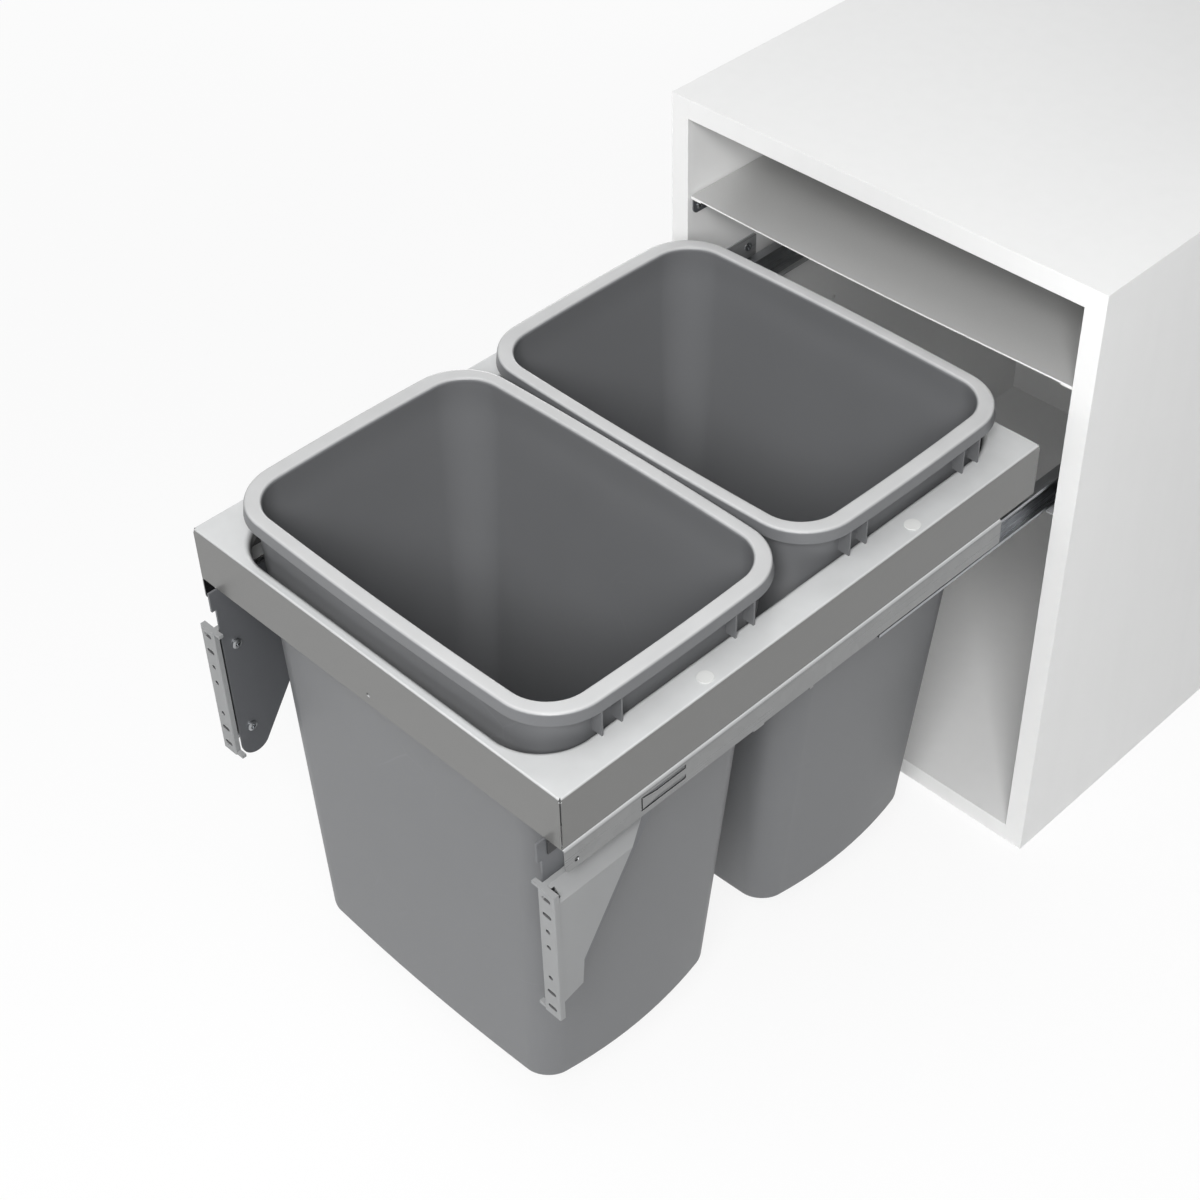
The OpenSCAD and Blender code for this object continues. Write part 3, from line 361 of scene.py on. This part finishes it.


# the film keys paint light: faces that look up, or the given side, get a paler colour than the part has
finishes = {
    # the bin's rim and other upward faces: painted light, much paler than the plastic
    "bin": {"dark": (0.128, 0.131, 0.136), "light": (0.145, 0.148, 0.153), "scuffColour": (0.3, 0.31, 0.32),
            "rough": 0.42, "gloss": 0.45, "grainScale": 1100.0, "grainDepth": 0.12, "scuffs": 0.1,
            "paintedLitShare": 0.92, "paintedLitColour": (0.585, 0.587, 0.587)},
    # a paler copy of the bin plastic for the inside: painted light in the shaded inside
    "binInsidePaintedLight": {"dark": (0.155, 0.158, 0.163), "light": (0.171, 0.174, 0.18),
                  "scuffColour": (0.3, 0.31, 0.32), "rough": 0.38, "gloss": 0.45, "grainScale": 1500.0,
                  "grainDepth": 0.06, "scuffs": 0.06, "paintedLitShare": 0.0, "paintedLitColour": (0.5, 0.5, 0.5)},
    # the shade keys: near-black painted shade in the strip's holes and hollow
    "bracket": {"dark": (0.23, 0.234, 0.236), "light": (0.26, 0.264, 0.266), "scuffColour": (0.5, 0.5, 0.5),
                "rough": 0.45, "gloss": 0.4, "grainScale": 1300.0, "grainDepth": 0.12, "scuffs": 0.05,
                "paintedLitShare": 0.2, "paintedLitColour": (0.5, 0.5, 0.5), "paintedShadeColour": (0.025, 0.025, 0.027),
                "paintedShadeCentre": (0.1929, -0.8438, 0.31785), "paintedShadeHalf": (0.0062, 0.0078, 0.06335)},
    "cage": {"dark": (0.6, 0.6, 0.56), "light": (0.68, 0.68, 0.64), "scuffColour": (0.7, 0.7, 0.7),
             "rough": 0.4, "gloss": 0.5, "grainScale": 900.0, "grainDepth": 0.08, "scuffs": 0.0,
             "paintedLitShare": 0.0, "paintedLitColour": (0.6, 0.6, 0.6)},
    "cap": {"dark": (0.6, 0.605, 0.595), "light": (0.66, 0.665, 0.655), "scuffColour": (0.7, 0.7, 0.7),
            "rough": 0.42, "gloss": 0.45, "grainScale": 1500.0, "grainDepth": 0.08, "scuffs": 0.0,
            "paintedLitShare": 0.0, "paintedLitColour": (0.6, 0.6, 0.6)},
    # the deck and other upward faces: painted light, paler and less metallic than the skirts
    "tray": {"dark": (0.125, 0.125, 0.121), "light": (0.151, 0.151, 0.147), "metallic": 0.35, "coat": 0.35,
             "paintedLitShare": 0.94, "paintedLitColour": (0.66, 0.668, 0.67), "paintedLitMetallic": 0.1,
             "rough": 0.42, "grainDepth": 0.1},
    # the faces that look forward, among them the front edge: painted highlight
    "lid": {"dark": (0.47, 0.47, 0.465), "light": (0.52, 0.52, 0.515), "metallic": 0.25, "coat": 0.05,
            "paintedLitShare": 1.0, "paintedLitSide": (0.0, -1.0, 0.0), "paintedLitColour": (0.95, 0.95, 0.94), "paintedLitMetallic": 0.0,
            "rough": 0.3, "grainDepth": 0.06},
    "darkSteel": {"dark": (0.13, 0.137, 0.15), "light": (0.18, 0.188, 0.2), "metallic": 0.6, "coat": 0.2,
                  "paintedLitShare": 0.3, "paintedLitColour": (0.3, 0.3, 0.31), "paintedLitMetallic": 0.4,
                  "rough": 0.38, "grainDepth": 0.08},
    "armSteel": {"dark": (0.11, 0.114, 0.122), "light": (0.14, 0.145, 0.153), "metallic": 0.4, "coat": 0.1,
                 "paintedLitShare": 0.3, "paintedLitColour": (0.3, 0.3, 0.31), "paintedLitMetallic": 0.4,
                 "rough": 0.42, "grainDepth": 0.08},
    # painted highlight on the upward bend, and painted shade together with grease in the track
    "railSteel": {"dark": (0.235, 0.238, 0.239), "light": (0.255, 0.258, 0.259), "metallic": 1.0,
                  "rough": 0.3, "stretch": (150.0, 1.5, 150.0), "paintedLitShare": 0.95,
                  "paintedLitColour": (0.85, 0.86, 0.87), "paintedShadeColour": (0.06, 0.06, 0.062),
                  "paintedShadeCentre": (0.194, -0.6005, 0.41605), "paintedShadeHalf": (0.0083, 0.2406, 0.01605)},
    "zinc": {"dark": (0.27, 0.28, 0.295), "light": (0.36, 0.37, 0.385), "metallic": 1.0, "rough": 0.3,
             "stretch": (120.0, 1.5, 120.0), "paintedLitShare": 0.5, "paintedLitColour": (0.7, 0.71, 0.73)},
    "wallRail": {"dark": (0.32, 0.325, 0.33), "light": (0.42, 0.425, 0.43), "metallic": 0.4, "rough": 0.3,
                 "stretch": (120.0, 1.5, 120.0), "paintedLitShare": 0.5, "paintedLitColour": (0.6, 0.61, 0.63)},
    "screw": {"dark": (0.3, 0.31, 0.32), "light": (0.4, 0.41, 0.42), "metallic": 1.0, "rough": 0.3,
              "stretch": (60.0, 60.0, 60.0), "paintedLitShare": 0.3, "paintedLitColour": (0.5, 0.5, 0.51)},
    "board": {"dark": (0.813, 0.813, 0.808), "light": (0.825, 0.825, 0.82), "poreStretch": (12.0, 12.0, 1.0)},
    "dowel": {"dark": (0.45, 0.3, 0.16), "light": (0.56, 0.4, 0.23), "poreStretch": (2.0, 40.0, 40.0)},
}

binPlastic = makePlastic("binPlastic", finishes["bin"])
# the bin's inside: a paler copy of the plastic, painted light
binInsidePaintedLight = makePlastic("binInsidePaintedLight", finishes["binInsidePaintedLight"])
bracketPlastic = makePlastic("bracketPlastic", finishes["bracket"])
cagePlastic = makePlastic("cagePlastic", finishes["cage"])
capPlastic = makePlastic("capPlastic", finishes["cap"])
trayPaint = makePaintedSteel("trayPaint", finishes["tray"])
lidSteel = makePaintedSteel("lidSteel", finishes["lid"])
darkSteel = makePaintedSteel("darkSteel", finishes["darkSteel"])
armSteel = makePaintedSteel("armSteel", finishes["armSteel"])
railSteel = makeZincSteel("railSteel", finishes["railSteel"])
zincSteel = makeZincSteel("zincSteel", finishes["zinc"])
wallRailSteel = makeZincSteel("wallRailSteel", finishes["wallRail"])
screwSteel = makeZincSteel("screwSteel", finishes["screw"])
boardWhite = makeMelamine("boardWhite", finishes["board"])
dowelWood = makeMelamine("dowelWood", finishes["dowel"])

# each node's finish, and the width of its broken edges in millimetres
nodeLooks = {
    "side_board_left": (boardWhite, 0.8), "side_board_right": (boardWhite, 0.8),
    "top_board": (boardWhite, 0.8), "bottom_board": (boardWhite, 0.8), "back_panel": (boardWhite, 0.0),
    "board_dowels": (dowelWood, 0.0),
    "lid_shelf": (lidSteel, 0.3), "lid_brackets": (darkSteel, 0.4), "lid_bracket_screws": (screwSteel, 0.0),
    "cabinet_rail_left": (wallRailSteel, 0.3), "cabinet_rail_right": (wallRailSteel, 0.3),
    "cabinet_rail_screws": (screwSteel, 0.0),
    "middle_rail_left": (zincSteel, 0.3), "middle_rail_right": (zincSteel, 0.3),
    "upper_cage_left": (cagePlastic, 0.0), "upper_cage_right": (cagePlastic, 0.0),
    "lower_cage_left": (cagePlastic, 0.0), "lower_cage_right": (cagePlastic, 0.0),
    "drawer_rail_left": (railSteel, 0.3), "drawer_rail_right": (railSteel, 0.3),
    "tray": (trayPaint, 0.4), "deck_caps": (capPlastic, 0.3), "tray_screws": (screwSteel, 0.0),
    "arm_plate_left": (armSteel, 0.4), "arm_plate_right": (armSteel, 0.4), "arm_rivets": (screwSteel, 0.3),
    "front_bracket_left": (bracketPlastic, 0.5), "front_bracket_right": (bracketPlastic, 0.5),
    "bracket_screws_left": (screwSteel, 0.0), "bracket_screws_right": (screwSteel, 0.0),
    "front_bin": (binPlastic, 0.0), "rear_bin": (binPlastic, 0.0),
}

edgeLook = {"weld": 0.00002, "flatAngle": 1.5, "edgeAngle": 32, "edgeSegments": 3, "splitAngle": 38}


def dressNode(part, material, edgeWidth):
    part.data.materials.clear()
    part.data.materials.append(material)
    weld = part.modifiers.new("weld", "WELD")
    weld.merge_threshold = edgeLook["weld"]
    if edgeWidth:
        flat = part.modifiers.new("flat", "DECIMATE")
        flat.decimate_type = "DISSOLVE"
        flat.angle_limit = math.radians(edgeLook["flatAngle"])
        edge = part.modifiers.new("edge", "BEVEL")
        edge.width = edgeWidth * mm
        edge.segments = edgeLook["edgeSegments"]
        edge.limit_method = "ANGLE"
        edge.angle_limit = math.radians(edgeLook["edgeAngle"])
        edge.use_clamp_overlap = True
    for polygon in part.data.polygons:
        polygon.use_smooth = True
    split = part.modifiers.new("split", "EDGE_SPLIT")
    split.split_angle = math.radians(edgeLook["splitAngle"])
    split.use_edge_sharp = False
    evenNormals(part)


for nodeName, (material, edgeWidth) in nodeLooks.items():
    dressNode(nodes[nodeName], material, edgeWidth)
print("frame nodes dressed")


# Bins: a wall that tapers and bows, a crowned rim with a turned-down side, and standing ribs

binShape = {
    "rimHalfWidth": 181.5, "rimHalfLength": 127.5, "rimRadius": 45.0, "rimSideBow": 2.5, "rimFaceBow": 4.0,
    "overhang": 8.0, "sideOverhang": 10.5, "innerLip": 2.5, "rimDrop": 11.0, "rimFlare": 1.0,
    "wall": 2.5, "floor": 3.0, "height": 443.0, "deckRise": 407.0, "sideTaper": 24.0, "faceTaper": 19.0,
    "bottomBow": 12.0, "bottomRadius": 20.0, "bottomShift": 18.0, "footRadius": 7.0, "footSteps": 6,
    "foldRadius": 1.5, "foldSteps": 3, "shoulder": 4.5, "hemRound": 0.6, "lipDepth": 14.0, "lipSlope": 1.4,
    "bowShare": 0.3, "faceBowShare": 0.75, "leastRadius": 2.5,
    "outerRows": (0.15, 0.3, 0.45, 0.6, 0.75, 0.9, 1.0), "innerRows": (1.0, 0.85, 0.7, 0.55, 0.4, 0.25, 0.1),
    "crown": [(0.1, 2.6), (0.45, 1.45), (1.1, 0.65), (2.0, 0.2), (3.4, 0.0), (7.6, 0.0)],
    "innerCrown": [(2.6, 0.05), (1.6, 0.4), (0.8, 1.1), (0.25, 2.1), (0.0, 3.6)],
    "ribOffset": 67.0, "ribSpacing": 19.0, "rib": 1.6, "ribSink": 2.0, "ribInset": 1.6, "ribTop": 3.0,
    "ribFootGap": 0.3, "cornerSteps": 14, "sideSteps": 12, "smoothAngle": 40,
}


def binRing(halfWidth, halfLength, radius, sideBow, faceBow, forward, height):
    # one ring of the bin: four round corners, joined by sides that bow outwards
    cornerSteps, sideSteps = binShape["cornerSteps"], binShape["sideSteps"]
    points = []
    for quarter in range(4):
        sideways = 1 if quarter in (0, 3) else -1
        backwards = 1 if quarter < 2 else -1
        centreX = sideways * (halfWidth - sideBow - radius)
        centreY = backwards * (halfLength - faceBow - radius)
        nextX = -centreX if quarter % 2 == 0 else centreX
        nextY = centreY if quarter % 2 == 0 else -centreY
        for i in range(cornerSteps + sideSteps):
            angle = math.radians(90 * quarter + 90 * min(i, cornerSteps) / cornerSteps)
            share = max(0, i - cornerSteps) / sideSteps
            x = centreX + radius * math.cos(angle) + share * (nextX - centreX)
            y = centreY + radius * math.sin(angle) + share * (nextY - centreY)
            u, v = x / (halfWidth - sideBow), y / (halfLength - faceBow)
            x += math.copysign(sideBow * (1 - v * v), x) if abs(x) > 1e-6 else 0
            y += math.copysign(faceBow * (1 - u * u), y) if abs(y) > 1e-6 else 0
            points.append((x, y - forward, height))
    return points


def binWall(height, inset):
    # a ring of the wall: low runs from 0 at the deck to 1 at the foot
    shape = binShape
    low = 1 - min(height / shape["deckRise"], 1)
    radius = (shape["rimRadius"] - shape["overhang"]) * (1 - low) + shape["bottomRadius"] * low
    sideTaper = (shape["sideTaper"] - shape["bowShare"] * shape["bottomBow"]) * low
    faceBowShare = shape["faceBowShare"]
    return binRing(
        shape["rimHalfWidth"] - shape["sideOverhang"] - sideTaper - inset,
        shape["rimHalfLength"] - shape["overhang"] - shape["faceTaper"] * low - inset,
        max(radius - inset, shape["leastRadius"]),
        shape["rimSideBow"] * (1 - low) + shape["bottomBow"] * low,
        shape["rimFaceBow"] * (faceBowShare + (1 - faceBowShare) * low), shape["bottomShift"] * low, height)


def binRim(inset, height):
    shape = binShape
    return binRing(shape["rimHalfWidth"] - inset, shape["rimHalfLength"] - inset, shape["rimRadius"] - inset,
                   shape["rimSideBow"], shape["rimFaceBow"], 0, height)


def outerRings():
    # from the floor's underside up the wall, out under the rim, down its side and over its crown
    shape = binShape
    top, foot, wall, fold = shape["height"], shape["footRadius"], shape["wall"], shape["foldRadius"]
    rings = []
    for i in range(shape["footSteps"] + 1):
        turn = math.radians(90 * i / shape["footSteps"])
        rings.append(binWall(foot * (1 - math.cos(turn)), foot * (1 - math.sin(turn))))
    for share in shape["outerRows"]:
        rings.append(binWall(foot + (shape["deckRise"] - foot) * share, 0))
    rings.append(binWall(top - shape["shoulder"], 0))
    for i in range(shape["foldSteps"] + 1):
        turn = math.radians(90 * i / shape["foldSteps"])
        rings.append(binWall(top - wall - fold + fold * math.sin(turn), -fold * (1 - math.cos(turn))))
    rings.append(binRim(wall, top - wall))
    hem, hemRound, flare = top - shape["rimDrop"], shape["hemRound"], shape["rimFlare"]
    rings.append(binRim(wall - flare, hem + hemRound))
    rings.append(binRim(wall - flare - hemRound, hem))
    rings.append(binRim(hemRound - flare, hem))
    rings.append(binRim(-flare, hem + hemRound))
    rings.append(binRim(0, top - shape["shoulder"]))
    for inset, drop in shape["crown"]:
        rings.append(binRim(inset, top - drop))
    return rings


def innerRings():
    # from the rim's inner edge down the wall to the floor
    shape = binShape
    top, foot, wall = shape["height"], shape["footRadius"], shape["wall"]
    lip, inner = wall + shape["innerLip"], foot - wall
    rings = []
    for inset, drop in shape["innerCrown"]:
        rings.append(binWall(top - drop, lip - inset))
    rings.append(binWall(top - shape["lipDepth"], lip - shape["lipSlope"]))
    for share in shape["innerRows"]:
        rings.append(binWall(foot + (shape["deckRise"] - foot) * share, wall))
    for i in range(shape["footSteps"] + 1):
        turn = math.radians(90 - 90 * i / shape["footSteps"])
        height = shape["floor"] + inner * (1 - math.cos(turn))
        rings.append(binWall(height, wall + inner * (1 - math.sin(turn))))
    return rings


def addRibs(bm):
    shape = binShape
    foot, top = shape["deckRise"] + shape["ribFootGap"], shape["height"] - shape["ribTop"]
    inner = shape["rimHalfWidth"] - shape["sideOverhang"] - shape["ribSink"]
    outer = shape["rimHalfWidth"] - shape["ribInset"]
    for side in (-1, 1):
        for end in (-1, 1):
            for pair in (-0.5, 0.5):
                y = end * shape["ribOffset"] + pair * shape["ribSpacing"]
                low, high = sorted((side * inner, side * outer))
                addBox(bm, (low, y - shape["rib"] / 2, foot), (high, y + shape["rib"] / 2, top))


def makeBin(name, node, body):
    shape = binShape
    outside, inside = outerRings(), innerRings()
    bm = bmesh.new()
    loft(bm, outside + inside)
    bm.faces.ensure_lookup_table()
    # the inside gets a paler copy of the plastic, painted light that lifts the shade inside the bin; it
    # starts at the inner crown's fourth ring, and takes in the floor
    innerStart = (len(outside) + 3) * len(outside[0])
    for face in bm.faces[innerStart:-2]:
        face.material_index = 1
    bm.faces[-1].material_index = 1
    addRibs(bm)
    low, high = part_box(node)
    bmesh.ops.scale(bm, vec=(mm, mm, mm), verts=bm.verts)
    middle = high[1] - (shape["rimHalfLength"] + shape["rimFlare"]) * mm
    bmesh.ops.translate(bm, vec=((low[0] + high[0]) / 2, middle, low[2]), verts=bm.verts)
    piece = newPiece(name, bm, binPlastic, body, shape["smoothAngle"])
    piece.data.materials.append(binInsidePaintedLight)
    evenNormals(piece)
    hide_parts(node)


makeBin("frontBin", "front_bin", "front_bin_body")
makeBin("rearBin", "rear_bin", "rear_bin_body")
print("bins made")


# Floor, world, lights and camera

stageLook = {"floorColour": (0.85, 0.85, 0.85), "floorRough": 0.9, "floorReach": 14.0, "floorDrop": 0.0006,
             "floorGlow": 0.86, "fadeStart": 1.0, "fadeEnd": 3.2,
             "worldColour": (0.96, 0.98, 1.0), "worldStrength": 0.15}
plainWhite = (1.0, 1.0, 1.0, 1.0)


def makeFloor():
    # white to the camera and in reflections, but less so near the object, where it keeps the shadow
    mesh = bpy.data.meshes.new("floor")
    reach = stageLook["floorReach"]
    corners = [(-reach, -reach, 0), (reach, -reach, 0), (reach, reach, 0), (-reach, reach, 0)]
    mesh.from_pydata(corners, [], [(0, 1, 2, 3)])
    floor = bpy.data.objects.new("floor", mesh)
    floor.location.z = -stageLook["floorDrop"]
    scene.collection.objects.link(floor)
    material, tree, shader, where = startMaterial("paleFloor", {
        "Base Color": (*stageLook["floorColour"], 1.0), "Roughness": stageLook["floorRough"]})
    glow = addNode(tree, "ShaderNodeEmission", None, {"Color": plainWhite, "Strength": 1.0})
    path = tree.nodes.new("ShaderNodeLightPath").outputs
    seen = calculate(tree, "MAXIMUM", path["Is Camera Ray"], path["Is Glossy Ray"])
    away = calculateVector(tree, "LENGTH", where, None, "Value")
    glowShare = valueRange(
        tree, away, stageLook["floorGlow"], 1.0, stageLook["fadeStart"], stageLook["fadeEnd"])
    mix = addNode(tree, "ShaderNodeMixShader", None, {
        0: calculate(tree, "MULTIPLY", seen, glowShare), 1: shader.outputs[0], 2: glow.outputs[0]})
    tree.links.new(mix.outputs[0], tree.nodes["Material Output"].inputs["Surface"])
    mesh.materials.append(material)


def makeWorld():
    # a dim pale room that the camera, metal and glass see as white
    world = bpy.data.worlds.new("paleRoom")
    world.use_nodes = True
    scene.world = world
    tree = world.node_tree
    room = tree.nodes["Background"]
    room.inputs["Color"].default_value = (*stageLook["worldColour"], 1.0)
    room.inputs["Strength"].default_value = stageLook["worldStrength"]
    plain = addNode(tree, "ShaderNodeBackground", None, {"Color": plainWhite, "Strength": 1.0})
    path = tree.nodes.new("ShaderNodeLightPath").outputs
    direct = calculate(tree, "MAXIMUM", path["Is Camera Ray"], path["Is Transmission Ray"])
    seen = calculate(tree, "MAXIMUM", direct, path["Is Glossy Ray"])
    mix = addNode(tree, "ShaderNodeMixShader", None, {0: seen, 1: room.outputs[0], 2: plain.outputs[0]})
    tree.links.new(mix.outputs[0], tree.nodes["World Output"].inputs["Surface"])


# each lamp's place, aim, size in metres and power in watts
lamps = {
    "topSoftbox": ((0.15, -1.2, 2.6), (0, -0.6, 0.5), (2.0, 1.6), 18.5),
    "frontKey": ((1.25, -2.0, 2.05), (0, -0.35, 0.35), (0.9, 0.9), 61),
    "leftFill": ((-1.1, -3.8, 0.8), (0, -0.3, 0.4), (2.6, 1.2), 23),
    "backFill": ((-2.6, 2.4, 0.8), (0, 0, 0.35), (2.2, 1.4), 64),
}


def addLamp(name, place, aim, size, power):
    light = bpy.data.lights.new(name, "AREA")
    light.shape = "RECTANGLE"
    light.size, light.size_y = size
    light.energy = power
    lamp = bpy.data.objects.new(name, light)
    lamp.location = place
    lamp.rotation_euler = (Vector(aim) - Vector(place)).to_track_quat("-Z", "Y").to_euler()
    scene.collection.objects.link(lamp)


makeFloor()
makeWorld()
for name, lamp in lamps.items():
    addLamp(name, *lamp)
print("stage and lights made")

photoView = {"azimuth": 46.531, "elevation": 42.211, "roll": -1.879, "distance": 2.3423,
             "target": (-0.33528, -0.29, -0.03679), "lens": 64.588, "sensor": 36, "farthest": 100}


def makeCamera():
    azimuth, elevation, roll = (math.radians(photoView[key]) for key in ("azimuth", "elevation", "roll"))
    back = Vector((math.sin(azimuth) * math.cos(elevation), -math.cos(azimuth) * math.cos(elevation),
                   math.sin(elevation)))
    right = Vector((0, 0, 1)).cross(back).normalized()
    up = back.cross(right)
    turnedRight = right * math.cos(roll) + up * math.sin(roll)
    turnedUp = up * math.cos(roll) - right * math.sin(roll)
    data = bpy.data.cameras.new("photoCamera")
    data.sensor_width = photoView["sensor"]
    data.lens = photoView["lens"]
    data.clip_end = photoView["farthest"]
    camera = bpy.data.objects.new("photoCamera", data)
    place = Vector(photoView["target"]) + back * photoView["distance"]
    axes = Matrix((turnedRight, turnedUp, back)).transposed().to_4x4()
    camera.matrix_world = Matrix.Translation(place) @ axes
    scene.collection.objects.link(camera)
    scene.camera = camera


makeCamera()
scene.view_settings.view_transform = "Standard"
